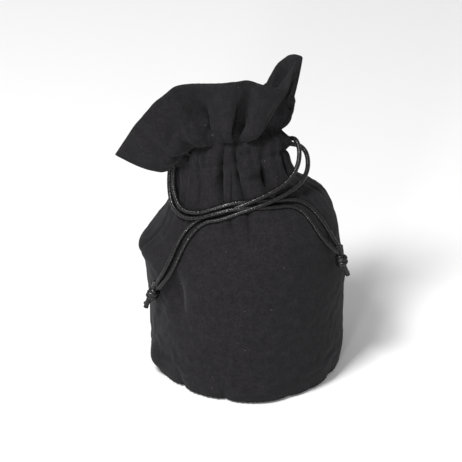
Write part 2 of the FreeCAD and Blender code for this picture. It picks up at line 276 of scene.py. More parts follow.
def make_knots(satin):
    """The two knots, each with the cut tails of its two cords."""
    for side, (centre, axis, tails) in KNOTS.items():
        up = unit(axis)
        across = unit(np.cross((0.0, -1.0, 0.15), up))
        out = np.cross(up, across)
        turned = np.array([across, out, up])
        parts = []
        for which, tail in enumerate(tails):
            route = np.array(knot_strand(which)) @ turned + np.array(centre)
            foot = route[-1]
            ends = [foot + unit(tail) * TAIL * share for share in TAIL_POINTS]
            points = spline_points(np.vstack([route, ends]), KNOT_STEPS)
            radius = np.full(len(points), CORD_SKIN)
            radius[-FLARED_STEPS:] *= np.linspace(1.0, TAIL_FLARE, FLARED_STEPS)
            parts.append(tube(points, radius, CORD_SIDES, CORD_RIBS, RIB_DEPTH, RIB_LEAD))
        vertices, faces = joined(parts)
        piece = mesh_piece(f"{side}_knot_wrap", vertices, faces, satin, "satin_cord")
        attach(piece, f"{side}_tie")
        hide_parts(f"{side}_knot")


# ---------------------------------------------------------------- the cloth's form

# Rings of the bag from the hem to the top of the casing:
# middle x, y, z, half width, half depth, tilt up to the right, lean up to the front.
RINGS = (
    (2.0, -1.5, 1.0, 55.5, 56.0, 0.0, 0.0),
    (1.8, -1.0, 7.0, 58.6, 58.8, 0.0, 0.0),
    (1.4, -0.6, 22.0, 59.4, 59.2, 0.0, 0.0),
    (1.0, 0.0, 45.0, 59.6, 59.2, 0.0, 0.0),
    (1.0, 0.0, 60.0, 60.6, 58.8, 2.0, 0.0),
    (-1.6, 0.0, 75.0, 59.2, 58.4, 3.0, 0.0),
    (-2.0, 0.0, 88.0, 58.4, 56.5, 6.0, 0.0),
    (-1.2, 0.0, 98.0, 54.8, 51.5, 8.0, 0.0),
    (-1.6, -1.0, 107.0, 48.0, 40.0, 8.5, 2.0),
    (-5.8, -2.6, 117.0, 39.8, 27.5, 9.0, 4.0),
    (-7.4, -2.4, 127.0, 35.4, 20.4, 9.0, 8.0),
    (-8.5, -1.2, 138.0, 34.3, 16.8, 9.0, 12.0),
    (-8.7, 0.0, 144.0, 34.5, 17.0, 9.0, 12.0),
    (-8.4, 1.2, 150.0, 32.0, 15.5, 9.0, 12.0),
)
SHOULDER, NECK, LOW_ROW, HIGH_ROW = 6, 10, 11, 13
SEAM_POINT = -3.5  # where the side seams' plane crosses the X axis
SEAM_TURN = 6.4

# Rulings of the heading, from the casing up to the rim: the angle of the foot, the rim's place,
# and how far the ruling's middle stands off its chord.
FRONT_RULINGS = (
    (195.6, (-76.6, -8.0, 142.0), (2.0, -4.0, -13.5)),
    (214.0, (-65.5, -18.0, 166.0), (-2.0, -6.0, -9.0)),
    (230.0, (-53.5, -24.0, 184.5), (-2.0, -5.0, -1.0)),
    (252.0, (-41.0, -26.0, 196.0), (0.0, -4.0, 0.0)),
    (262.0, (-24.0, -27.0, 198.0), (0.0, -5.0, 0.0)),
    (271.8, (-5.0, -27.0, 200.5), (0.0, -3.0, 0.0)),
    (281.0, (10.0, -22.0, 196.0), (0.0, -4.0, 0.0)),
    (293.6, (25.0, -14.0, 188.0), (2.5, -3.0, -1.0)),
    (306.0, (26.2, -9.5, 191.0), (-4.0, 4.0, -1.0)),
    (322.0, (28.0, -5.0, 196.5), (-7.0, 7.0, -2.0)),
    (346.0, (31.0, 0.0, 201.0), (-1.0, 3.0, 0.0)),
    (372.0, (34.0, 4.0, 201.6), (3.5, 0.0, 0.0)),
)
BACK_RULINGS = (
    (12.0, (34.0, 4.0, 201.6), (3.5, 0.0, 0.0)),
    (24.0, (29.8, 11.0, 199.4), (3.0, -1.0, 0.0)),
    (36.0, (26.0, 17.0, 195.6), (1.0, -2.0, 0.0)),
    (47.0, (19.8, 20.5, 188.3), (0.0, -2.0, 0.0)),
    (60.0, (13.8, 22.0, 175.0), (0.0, -1.0, 0.0)),
    (74.0, (5.0, 19.0, 170.7), (0.0, 0.0, 0.0)),
    (92.0, (-6.0, 12.0, 181.4), (0.0, 2.0, 0.0)),
    (112.0, (-24.0, 8.0, 181.0), (0.0, 4.0, 0.0)),
    (136.0, (-42.0, -4.0, 186.0), (-1.0, 5.0, 0.0)),
    (164.0, (-59.0, -4.0, 169.0), (-3.0, 4.0, -4.0)),
    (195.6, (-76.6, -8.0, 142.0), (2.0, -4.0, -13.5)),
)

# Folds of the gathered neck: angle, depth and half width in mm along the ring.
NECK_FOLDS = (
    (205.0, 2.4, 1.8), (221.0, 3.0, 1.6), (236.0, 2.2, 1.4), (247.0, 1.4, 1.0), (262.0, 9.4, 1.9),
    (269.0, 2.6, 1.0), (277.5, 9.8, 1.8), (306.0, 9.0, 2.2), (322.0, 1.4, 1.4),
    (339.0, 5.6, 1.9), (356.0, 3.0, 1.6), (25.0, 3.6, 2.2),
    (47.0, 5.4, 2.6), (66.0, 6.0, 2.4), (83.0, 5.0, 2.2), (99.0, 6.2, 2.5), (117.0, 5.2, 2.3),
    (134.0, 5.6, 2.6), (154.0, 4.4, 2.4), (176.0, 3.2, 2.0),
)
# Broad folds of the heading: place along the rulings' angle, depth, half width at the casing and rim.
FLAP_FOLDS = (
    (257.5, 14.0, 3.2, 14.0), (276.5, 11.0, 2.2, 6.0), (232.0, 3.2, 2.0, 7.0), (293.0, 3.0, 1.6, 4.0),
    (216.0, 2.4, 1.8, 6.0), (99.0, 4.5, 2.6, 8.0),
    (66.0, 3.5, 2.4, 5.0), (134.0, 4.5, 2.6, 9.0), (117.0, 2.5, 2.4, 7.0), (154.0, 2.5, 2.4, 8.0),
)
# Puckers of the base seam: angle and depth in mm.
BASE_PUCKERS = (
    (210.0, 0.8), (224.0, 4.2), (239.0, 1.0), (247.0, 0.8), (255.0, 3.8), (276.0, 0.0), (296.0, 2.0),
    (312.0, 0.9), (333.0, 2.8), (346.0, 0.8), (2.0, 1.5), (22.0, 1.1), (40.0, 1.7), (63.0, 1.2),
    (85.0, 1.7), (107.0, 1.1), (128.0, 1.8), (150.0, 1.2), (173.0, 1.6),
)

# Bulges and dents of the body: angle, height up the cloth, mm outwards, half angle, half height.
BULGES = (
    (184.0, 86.0, 4.6, 16.0, 9.0), (357.0, 60.0, -0.6, 15.0, 13.0), (227.0, 68.0, -5.5, 5.5, 15.0),
    (300.0, 84.0, 0.9, 8.0, 18.0), (100.0, 70.0, 1.6, 22.0, 20.0), (60.0, 40.0, -1.2, 10.0, 18.0),
    (260.0, 112.0, -7.0, 18.0, 8.0), (281.0, 3.0, 2.8, 13.0, 9.0), (201.0, 10.0, 4.2, 8.0, 9.0),
)

COLUMNS = 260
BODY_ROWS = 76
FLAP_ROWS = 26
CLOTH = 0.8  # its thickness
ROW_PINCH = 2.0  # how deep each row of the casing's stitches draws the cloth in
PINCH_REACH = 1.3
LOW_GATHER = 1.7  # depth of the fine gathers at the casing's lower row
CASING_GATHER = 1.9
HEADING_GATHER = 1.4
FOLD_WANDER = 2.0  # degrees
FOLD_SHARPNESS = 1.35
LEDGE_ANGLE = 288.0
BASE_FADE = 9.0  # how far up the cloth the base seam's puckers reach
HEADING_SWELL = 3.2
SKEW = 0.6  # below 1, the rulings' middles bow nearer their feet


def smooth_step(low, high, value):
    """0 below low, 1 above high, smooth between them."""
    share = np.clip((np.asarray(value, float) - low) / (high - low), 0.0, 1.0)
    return share * share * (3.0 - 2.0 * share)


def softened(values, sigma, closed=False):
    """Rows of values, blurred along the first axis by a number of rows."""
    reach = int(3 * sigma) + 1
    kernel = np.exp(-0.5 * (np.arange(-reach, reach + 1) / sigma) ** 2)
    kernel /= kernel.sum()
    values = np.asarray(values, float)
    flat = values.reshape(len(values), -1)
    if closed:
        padded = np.concatenate([flat[-reach:], flat, flat[:reach]])
    else:
        low = 2 * flat[:1] - flat[reach:0:-1]
        high = 2 * flat[-1:] - flat[-2:-reach - 2:-1]
        padded = np.concatenate([low, flat, high])
    out = np.stack([np.convolve(column, kernel, "valid") for column in padded.T], axis=1)
    return out.reshape(values.shape)


def ring_table():
    """The rings' values at even rows, each row's distance up the cloth, and each ring's."""
    rings = np.array(RINGS)
    rise = np.hypot(np.diff(rings[:, 2]), np.diff((rings[:, 3] + rings[:, 4]) / 2))
    stations = np.concatenate([[0.0], np.cumsum(rise)])
    rows = np.linspace(0.0, stations[-1], BODY_ROWS)
    table = np.stack([np.interp(rows, stations, rings[:, k]) for k in range(rings.shape[1])], axis=1)
    step = rows[1] - rows[0]
    smooth = softened(table, 5.0 / step)
    keep = smooth_step(stations[LOW_ROW] - 6.0, stations[LOW_ROW], rows)[:, None]
    return smooth * (1 - keep) + softened(table, 1.2 / step) * keep, rows, stations


def seam_angles(ring):
    """Angles at which the side seams' plane meets a ring, at the left and then at the right."""
    x, y, _, wide, deep = ring[:5]
    way = np.array([math.cos(math.radians(SEAM_TURN)), math.sin(math.radians(SEAM_TURN))])
    start = np.array([SEAM_POINT - x, -y])
    scale = np.array([1 / wide, 1 / deep])
    a = ((way * scale) ** 2).sum()
    b = 2 * (start * way * scale * scale).sum()
    c = ((start * scale) ** 2).sum() - 1
    root = math.sqrt(b * b - 4 * a * c)
    found = []
    for far in ((-b - root) / (2 * a), (-b + root) / (2 * a)):
        spot = (start + way * far) * scale
        found.append(math.degrees(math.atan2(spot[1], spot[0])) % 360)
    return found


def key_shares(rulings):
    """How far round its panel each ruling is, as the mean of its shares at the casing and at the rim."""
    feet = np.array([foot for foot, _, _ in rulings])
    rim = along(np.array([place for _, place, _ in rulings]))
    return (abs(feet - feet[0]) / abs(feet[-1] - feet[0]) + rim / rim[-1]) / 2


def panel_columns(rulings, count):
    """The foot angle, rim place and middle's offset of each of a panel's columns."""
    shares = key_shares(rulings)
    at = np.linspace(0.0, 1.0, count)
    keys = [[foot, *place, *bow] for foot, place, bow in rulings]
    values = np.stack([np.interp(at, shares, column) for column in np.array(keys).T], axis=1)
    return softened(values, count / 90.0)


def circular_gap(angles, centre):
    """Signed angle from a centre, from -180 to 180."""
    return (np.asarray(angles) - centre + 180.0) % 360.0 - 180.0


def ring_points(ring, angles, inset):
    """Places on a ring at some angles, drawn in by an inset, and the outward directions there."""
    x, y, z, wide, deep, tilt, lean = ring
    tilt, lean, turn = math.radians(tilt), math.radians(lean), np.radians(angles)
    local = np.stack([wide * np.cos(turn), deep * np.sin(turn), np.zeros_like(turn)], axis=1)
    outward = unit(np.stack([np.cos(turn) / wide, np.sin(turn) / deep, np.zeros_like(turn)], axis=1))
    cos_lean, sin_lean = math.cos(lean), math.sin(lean)
    cos_tilt, sin_tilt = math.cos(tilt), math.sin(tilt)
    about_x = np.array([[1, 0, 0], [0, cos_lean, sin_lean], [0, -sin_lean, cos_lean]])
    about_y = np.array([[cos_tilt, 0, -sin_tilt], [0, 1, 0], [sin_tilt, 0, cos_tilt]])
    turned = (about_y @ about_x).T
    outward = outward @ turned
    return np.array([x, y, z]) + local @ turned - outward * inset[:, None], outward


def fold_depth(angles, ring, folds, up):
    """How far the gathers draw the cloth in round a ring, each wandering as it rises."""
    wide, deep = ring[3], ring[4]
    total = np.zeros_like(angles)
    for k, (centre, depth, half) in enumerate(folds):
        centre = centre + FOLD_WANDER * math.sin(up / 8.5 + 1.9 * k)
        depth = depth * (0.82 + 0.30 * math.sin(up / 6.5 + 2.7 * k))
        turn = math.radians(centre)
        reach = math.degrees(half / math.hypot(wide * math.sin(turn), deep * math.cos(turn)))
        total += depth * np.exp(-(np.abs(circular_gap(angles, centre) / reach) ** FOLD_SHARPNESS))
    return total


def fine_gathers(angles):
    """The small uneven puckers that a row of stitches holds, from 0 to 1."""
    turn = np.radians(angles)
    uneven = turn * 31 + 2.4 * np.sin(3 * turn + 0.4) + 1.6 * np.sin(7 * turn + 2.0)
    calm = 1 - 0.7 * np.exp(-((circular_gap(angles, 222.0) / 26.0) ** 2))
    calm = calm - 0.75 * np.exp(-((circular_gap(angles, 300.0) / 20.0) ** 2))
    return (0.5 + 0.5 * np.sin(uneven)) * (0.65 + 0.35 * np.sin(5 * turn + 1.0)) * calm


def ledge(angles, above):
    """The casing's lower edge where it puffs out at the front, right of the middle, over a pocket."""
    near = np.exp(-((circular_gap(angles, LEDGE_ANGLE) / 11.0) ** 2))
    puff = 5.4 * np.exp(-(((above + 4.5) / 3.4) ** 2))
    pocket = 3.2 * np.exp(-(((above - 3.5) / 3.2) ** 2))
    return near * (pocket - puff)


def base_depth(angles):
    """How far the puckers of the base seam draw the cloth in, sharp at each notch."""
    total = np.zeros_like(angles)
    for centre, depth in BASE_PUCKERS:
        total += depth * np.exp(-np.abs(circular_gap(angles, centre)) / 4.0)
    return total


def body_dents(angles, rows):
    """Broad soft dents of the slack cloth, and its bulges at the left shoulder and the right side."""
    turn = np.radians(angles)
    wave = np.sin(2 * turn + 0.6 + rows / 31) * np.sin(rows / 17 + 1.3 * np.sin(turn))
    wave += 0.6 * np.sin(5 * turn + 1.1 + rows / 43) * np.sin(rows / 23 + 0.7)
    dents = 0.9 + 0.55 * wave
    for centre, height, out, half, tall in BULGES:
        aside = (circular_gap(angles, centre) / half) ** 2
        above = ((rows - height) / tall) ** 2
        dents -= out * np.exp(-aside - above)
    return dents


def body_rows(feet_angles, shares):
    """The cloth from the hem to the top of the casing: one row of places for each row of the table."""
    table, rows, stations = ring_table()
    grid, outward = [], []
    for ring, up in zip(table, rows):
        left, right = seam_angles(ring)
        even = np.where(shares <= 0.5, left + (right + 360 - left) * shares * 2,
                        right + 360 + (left - right) * (shares - 0.5) * 2)
        gathered = smooth_step(stations[SHOULDER] - 18, stations[SHOULDER] + 26, up)
        angles = even + circular_gap(feet_angles, even) * gathered
        drawn = smooth_step(stations[SHOULDER] + 8, stations[NECK] + 2, up)
        held = smooth_step(stations[LOW_ROW] - 9, stations[LOW_ROW] - 1, up)
        inset = fold_depth(angles, ring, NECK_FOLDS, up) * drawn * (1 - 0.52 * held)
        near_row = np.exp(-(((up - stations[LOW_ROW] - 1) / 9) ** 2))
        inset += LOW_GATHER * fine_gathers(angles) * near_row * (1 - 0.35 * held)
        inset += CASING_GATHER * fine_gathers(angles) * held
        inset += ledge(angles, up - stations[LOW_ROW])
        for row_height in (stations[LOW_ROW], stations[HIGH_ROW]):
            inset += ROW_PINCH * np.exp(-(((up - row_height) / PINCH_REACH) ** 2))
        inset += base_depth(angles) * math.exp(-up / BASE_FADE)
        fade = 1 - smooth_step(stations[SHOULDER] + 4, stations[NECK] - 8, up)
        inset += body_dents(angles, up) * fade * smooth_step(-3, 8, up)
        places, out = ring_points(ring, angles, inset)
        grid.append(places)
        outward.append(out)
    return np.array(grid), np.array(outward), rows, stations


def grid_normals(grid):
    """Outward directions of a grid of rows that closes round the bag."""
    round_way = np.roll(grid, -1, axis=1) - np.roll(grid, 1, axis=1)
    up_way = np.gradient(grid, axis=0)
    return unit(np.cross(round_way, up_way) + 1e-9)


def flap_fold_depth(angles, share, columns_mm):
    """How far the heading's broad folds draw it in, at one share of its height."""
    total = np.zeros_like(angles)
    for centre, depth, foot_half, rim_half in FLAP_FOLDS:
        nearest = int(np.argmin(np.abs(circular_gap(angles, centre))))
        gap = columns_mm - columns_mm[nearest]
        span = columns_mm[-1] + (columns_mm[-1] - columns_mm[-2])
        gap = (gap + span / 2) % span - span / 2
        half = foot_half + (rim_half - foot_half) * share
        total += depth * (1 - 0.78 * share ** 1.8) * np.exp(-((gap / half) ** 2))
    return total


def heading_rows(last_row, outward, rim, bows, angles):
    """The loose heading, from the casing's upper row of stitches to the rim."""
    shares = np.linspace(0.0, 1.0, FLAP_ROWS + 1)[1:]
    rows = []
    for share in shares:
        lift = 4 * share ** SKEW * (1 - share ** SKEW)
        places = last_row * (1 - share) + rim * share + bows * lift
        swell = math.sin(math.pi * min(1.0, share * 2.2)) * (1 - share)
        rows.append(places + outward * HEADING_SWELL * swell)
    grid = np.concatenate([last_row[None], np.array(rows)])
    normals = grid_normals(grid)
    for k, share in enumerate(shares, start=1):
        columns_mm = along(np.concatenate([grid[k], grid[k][:1]]))[:-1]
        depth = flap_fold_depth(angles, share, columns_mm) * smooth_step(0.0, 0.16, share)
        near_row = math.exp(-((share / 0.18) ** 2)) * smooth_step(0.0, 0.05, share)
        depth += HEADING_GATHER * fine_gathers(angles) * near_row
        grid[k] -= normals[k] * depth[:, None]
    return grid[1:]


def cloth_grid():
    """The whole tube of outer cloth as rows of places, and where its rows and rings are."""
    half = COLUMNS // 2
    front = panel_columns(FRONT_RULINGS, half + 1)[:-1]
    back = panel_columns(BACK_RULINGS, half + 1)
    back[:, 0] += FRONT_RULINGS[-1][0] - back[0, 0]
    values = np.concatenate([front, back[:-1]])
    feet, rim, bows = values[:, 0], values[:, 1:4], values[:, 4:7]
    shares = np.arange(COLUMNS) / COLUMNS
    body, outward, rows, stations = body_rows(feet, shares)
    heading = heading_rows(body[-1], outward[-1], rim, bows, feet)
    return np.concatenate([body, heading]), rows, stations


SIM_SCALE = 0.01  # the cloth settles at ten times its size, where the solver behaves
SIM_FRAMES = 26
SIM_CAP = 7.0  # furthest that a point may move, in mm
PRESS = 0.75  # clearance of the cloth's middle from a cord's skin
PRESS_ABOVE = 5.0  # cloth this far outside a cord is pushed in under it


def settle_weights(rows, stations, total):
    """How firmly each row is held to its place, and how much spare cloth it has, from 0 to 1."""
    up = np.concatenate([rows, np.full(total - len(rows), stations[-1])])
    share = np.clip((np.arange(total) - len(rows) + 1) / (total - len(rows)), 0, 1)
    heading = share > 0.05
    held = 0.30 + 0.7 * (1 - smooth_step(2.0, 14.0, up))
    casing = smooth_step(stations[LOW_ROW] - 3.0, stations[LOW_ROW] - 0.5, up)
    held = np.maximum(held, casing * ~heading)
    held = np.where(heading, 0.16 + 0.34 * smooth_step(0.6, 1.0, share), held)
    spare = 0.10 + 0.90 * smooth_step(stations[SHOULDER] - 12, stations[NECK] - 12, up)
    spare = np.where(share > 0.0, 0.55, spare)
    return held, spare


def settled(grid, rows, stations):
    """The grid after its cloth, cut a little larger than the form, has buckled and come to rest."""
    total, count = grid.shape[:2]
    mesh = bpy.data.meshes.new("settling")
    mesh.from_pydata((grid.reshape(-1, 3) * SIM_SCALE).tolist(), [], grid_faces(total, count))
    item = bpy.data.objects.new("settling", mesh)
    bpy.context.scene.collection.objects.link(item)
    for name, weights in zip(("held", "spare"), settle_weights(rows, stations, total)):
        group = item.vertex_groups.new(name=name)
        for row, weight in enumerate(weights):
            group.add(list(range(row * count, (row + 1) * count)), float(weight), "REPLACE")
    cloth = item.modifiers.new("cloth", "CLOTH")
    cloth.point_cache.frame_start, cloth.point_cache.frame_end = 1, SIM_FRAMES
    cloth.settings.quality = 6
    cloth.settings.mass = 0.3
    cloth.settings.tension_stiffness = cloth.settings.compression_stiffness = 20.0
    cloth.settings.shear_stiffness = 8.0
    cloth.settings.bending_stiffness = 0.8
    cloth.settings.air_damping = 3.0
    cloth.settings.vertex_group_mass = "held"
    cloth.settings.pin_stiffness = 0.4
    cloth.settings.vertex_group_shrink = "spare"
    cloth.settings.shrink_min, cloth.settings.shrink_max = -0.01, -0.16
    cloth.settings.effector_weights.gravity = 0.03
    cloth.collision_settings.use_collision = False
    for moment in range(1, SIM_FRAMES + 1):
        bpy.context.scene.frame_set(moment)
    seen = item.evaluated_get(bpy.context.evaluated_depsgraph_get()).to_mesh()
    places = np.zeros(total * count * 3)
    seen.vertices.foreach_get("co", places)
    bpy.context.scene.frame_set(1)
    bpy.data.objects.remove(item)
    bpy.data.meshes.remove(mesh)
    moved = places.reshape(total, count, 3) / SIM_SCALE - grid
    far = np.linalg.norm(moved, axis=2, keepdims=True)
    return grid + moved * (SIM_CAP * np.tanh(far / SIM_CAP) / np.maximum(far, 1e-9))


def pressed(grid, rows):
    """The grid with the cloth pushed in where a cord lies on it."""
    cord_points = np.concatenate([spline_points(route, 6) for route in ROUTES.values()])
    tree = KDTree(len(cord_points))
    for k, place in enumerate(cord_points):
        tree.insert(place, k)
    tree.balance()
    normals = grid_normals(grid)
    reach = CORD / 2 + PRESS
    out = grid.copy()
    for row in range(len(rows)):
        for k in range(grid.shape[1]):
            place, normal = grid[row, k], normals[row, k]
            for spot, _, _ in tree.find_n(place, 2):
                gap = place - np.array(spot)
                height = gap.dot(normal)
                aside = math.sqrt(max(0.0, gap.dot(gap) - height * height))
                if aside < reach and -reach < height < PRESS_ABOVE:
                    below = -math.sqrt(reach * reach - aside * aside)
                    if height > below:
                        out[row, k] = np.minimum(0, below - height) * normal + place
    pushed = out - grid
    blurred = softened(pushed.transpose(1, 0, 2), 1.0, closed=True).transpose(1, 0, 2)
    size = np.linalg.norm(pushed, axis=2, keepdims=True)
    deeper = np.linalg.norm(blurred, axis=2, keepdims=True) > size
    return grid + np.where(deeper, blurred, pushed)


FACING_GAP = 1.25  # between the middles of the two layers
RIM_RISE = 0.75
CASING_SWELL = 7.6  # how far the inner layer stands back to leave room for the cords
FACING_BELOW = 4.0
SEAM_GROOVE = 0.9
GROOVE_REACH = 1.1  # columns
SEAM_ALLOWANCE = 4.0
SEAM_FLARE = 0.3
SLOT_GAP = 2.4
SLOT_SHARES = (1.0, 0.72, 0.42, 0.16)  # how much of it each column from the seam takes
SLOT_MARGIN = 1.2


def casing_arch(rows, stations, margin=0.0):
    """From 0 at the casing's stitches, or a margin inside them, to 1 midway between them."""
    middle = (stations[LOW_ROW] + stations[HIGH_ROW]) / 2
    reach = (stations[HIGH_ROW] - stations[LOW_ROW]) / 2 - margin
    return np.clip(1 - ((rows - middle) / reach) ** 2, 0, 1)


def facing_rows(grid, rows, stations):
    """The folded-in layer: over the rim, down inside the heading and behind the casing."""
    normals = grid_normals(grid)
    up_way = unit(np.gradient(grid, axis=0))
    fold = grid[-1] + up_way[-1] * RIM_RISE - normals[-1] * FACING_GAP / 2
    layers = [fold]
    first = int(np.searchsorted(rows, stations[LOW_ROW] - FACING_BELOW))
    gaps = np.full(len(grid), FACING_GAP)
    gaps[:len(rows)] += CASING_SWELL * casing_arch(rows, stations)
    for k in range(len(grid) - 1, first - 1, -1):
        layers.append(grid[k] - normals[k] * gaps[k])
    return np.array(layers)


def grooved(grid):
    """The tube's places with the grooves of its side seams."""
    columns = np.arange(COLUMNS)
    groove = np.zeros(COLUMNS)
    for seam in (0, COLUMNS // 2):
        gap = np.minimum(abs(columns - seam), COLUMNS - abs(columns - seam))
        groove += SEAM_GROOVE * np.exp(-((gap / GROOVE_REACH) ** 2))
    return grid - grid_normals(grid) * groove[None, :, None]


def sheet_mesh(name, grid, flat, material):
    """A panel's mesh from its grid of rows, given its cloth's thickness."""
    faces = grid_faces(*grid.shape[:2], closed=False)
    piece = mesh_piece(name, grid.reshape(-1, 3), faces, material, "cloth", flat.reshape(-1, 2))
    thick = piece.modifiers.new("thickness", "SOLIDIFY")
    thick.thickness = CLOTH * MM
    thick.offset = 0.0
    smooth = piece.modifiers.new("smooth", "SUBSURF")
    smooth.levels = smooth.render_levels = 1
    return piece


def seamed_panel(panel, normals, opening, outer_count):
    """A panel with its slots opened and a narrow seam allowance turned in along each side."""
    for edge, inside in ((0, 4), (-1, -8)):
        away = unit(panel[:, inside] - panel[:, edge])
        for k, share in enumerate(SLOT_SHARES):
            at = k if edge == 0 else -1 - k
            panel[:, at] += away * (SLOT_GAP * share * opening)[:, None]
    depth = np.where(np.arange(len(panel)) < outer_count, SEAM_ALLOWANCE, -SEAM_FLARE)[:, None]
    left, right = (panel[:, edge] - normals[:, edge] * depth for edge in (0, -1))
    return np.concatenate([left[:, None], panel, right[:, None]], axis=1)


def make_panels(cloth):
    """The front and back panels, each one sheet from the hem over the rim and down inside."""
    grid, rows, stations = cloth_grid()
    grid = settled(grid, rows, stations)
    grid = grooved(pressed(grid, rows))
    whole = np.concatenate([grid, facing_rows(grid, rows, stations)])
    half = COLUMNS // 2
    up = along(whole[:, half // 2])
    width = math.pi * RINGS[3][3]
    opening = np.zeros(len(whole))
    opening[:len(rows)] = np.sqrt(casing_arch(rows, stations, SLOT_MARGIN))
    normals = np.concatenate([grid_normals(grid), grid_normals(whole[len(grid):])])
    for name, first in (("front_cloth", 0), ("back_cloth", half)):
        used = [k % COLUMNS for k in range(first, first + half + 1)]
        sheet = seamed_panel(whole[:, used], normals[:, used], opening, len(grid))
        across = np.linspace(0.0, width, sheet.shape[1])
        flat = np.stack(np.meshgrid(across, up), axis=2)
        piece = sheet_mesh(name, sheet, flat, cloth)
        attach(piece, "bag")
        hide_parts(name.replace("cloth", "panel"))
    return grid, rows, stations


BASE_RADIUS = 54.6
BASE_RINGS = 26
BASE_COLUMNS = 180
BASE_HEIGHT = 0.45  # of the cloth's middle over the surface that the bag stands on
BASE_RIPPLE = 0.25
BASE_TURN_UP = 5.0
TURN_UP_INSET = 0.985  # the turned-up edge's size beside the base's


def make_base(cloth):
    """The round base, nearly flat, with its edge drawn up by the seam's puckers."""
    angles = np.linspace(0.0, 360.0, BASE_COLUMNS + 1)[:-1]
    turn = np.radians(angles)
    pull = base_depth(angles)
    grid = []
    for share in np.linspace(0.02, 1.0, BASE_RINGS):
        radius = BASE_RADIUS * share - pull * share ** 12
        waves = (1 + np.sin(3 * turn + 5 * share)) * share * (1 - share)
        height = BASE_HEIGHT + BASE_RIPPLE * (pull * share ** 6 + waves)
        grid.append(np.stack([radius * np.cos(turn), radius * np.sin(turn), height], axis=1))
    edge = grid[-1] * np.array([TURN_UP_INSET, TURN_UP_INSET, 1.0])
    for lift in (1.2, BASE_TURN_UP / 2, BASE_TURN_UP):
        grid.append(edge + np.array([0.0, 0.0, lift]))
    grid = np.array(grid)
    faces = [(a, d, c, b) for a, b, c, d in grid_faces(*grid.shape[:2])]
    faces.append(tuple(range(grid.shape[1])))
    places = grid.reshape(-1, 3)
    piece = mesh_piece("base_cloth", places, faces, cloth, "cloth", places[:, :2])
    thick = piece.modifiers.new("thickness", "SOLIDIFY")
    thick.thickness, thick.offset = CLOTH * MM, 0.0
    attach(piece, "bag")
    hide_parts("base_panel")


# ---------------------------------------------------------------- stitches

STITCH = 2.3
STITCH_GAP = 0.9
THREAD = 0.42
STITCH_TAPER = (0.55, 0.85, 1, 1, 1, 1, 1, 0.85, 0.55)  # share of the thread's radius along a stitch
STITCH_DIP = 0.34  # how far a stitch's ends lie below the outer face
STITCH_ARCH = 0.40  # how far its middle rises over its ends
SEAM_SUNK = 1.0  # how far the side seams' thread lies below the outer face, in the seam
BASE_SEAM_AT = 0.4  # rows above the hem
HIGH_ROW_DROP = 0.35  # rows that the upper stitching lies below its station


def row_line(grid, normals, height):
    """A closed line round the cloth at a height counted in rows, and the way out from it."""
    low = int(height)
    part = height - low
    places = grid[low] * (1 - part) + grid[low + 1] * part
    outward = unit(normals[low] * (1 - part) + normals[low + 1] * part)
    return places, outward


def stitches(places, outward, closed=True, sunk=0.0):
    """Short rounded stitches along a line, each dipping into the cloth at its ends."""
    if closed:
        places = np.concatenate([places, places[:1]])
        outward = np.concatenate([outward, outward[:1]])
    far = along(places)
    parts = []
    count = int(far[-1] // (STITCH + STITCH_GAP))
    pitch = far[-1] / count
    radius = THREAD / 2 * np.array(STITCH_TAPER)
    rise = np.sin(np.linspace(0.0, math.pi, len(radius))) ** 0.6
    arch = CLOTH / 2 - STITCH_DIP + STITCH_ARCH * rise - sunk
    for k in range(count):
        at = k * pitch + np.linspace(0.0, pitch - STITCH_GAP, len(radius))
        spots = np.stack([np.interp(at, far, places[:, axis]) for axis in range(3)], axis=1)
        out = unit(np.stack([np.interp(at, far, outward[:, axis]) for axis in range(3)], axis=1))
        parts.append(tube(spots + out * arch[:, None], radius, 8))
    return joined(parts)


def make_stitches(grid, rows, stations, thread):
    """The casing's two rows, the two side seams and the base seam."""
    normals = grid_normals(grid)
    step = rows[1] - rows[0]
    lines = {
        "lower_casing_thread": ("lower_casing_stitch", stations[LOW_ROW] / step),
        "upper_casing_thread": ("upper_casing_stitch", stations[HIGH_ROW] / step - HIGH_ROW_DROP),
        "base_seam_thread": ("base_seam_stitch", BASE_SEAM_AT),
    }
    for name, (node, height) in lines.items():
        piece = mesh_piece(name, *stitches(*row_line(grid, normals, height)), thread, "thread")
        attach(piece, "bag")
        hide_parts(node)
    last = int(stations[LOW_ROW] / step) - 2
    for side, column in (("left", 0), ("right", COLUMNS // 2)):
        line = stitches(grid[2:last, column], normals[2:last, column], False, SEAM_SUNK)
        piece = mesh_piece(f"{side}_side_seam_thread", *line, thread, "thread")
        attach(piece, "bag")
        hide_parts(f"{side}_side_seam_stitch")


# ---------------------------------------------------------------- materials


class Nodes:
    """Short ways to add and link the nodes of a material."""

    def __init__(self, name):
        self.material = bpy.data.materials.new(name)
        self.material.use_nodes = True
        self.tree = self.material.node_tree
        self.shader = self.tree.nodes["Principled BSDF"]

    def add(self, kind, **values):
        node = self.tree.nodes.new(kind)
        for key, value in values.items():
            if key in node.inputs:
                node.inputs[key].default_value = value
            else:
                setattr(node, key, value)
        return node

    def link(self, start, end):
        self.tree.links.new(start, end)


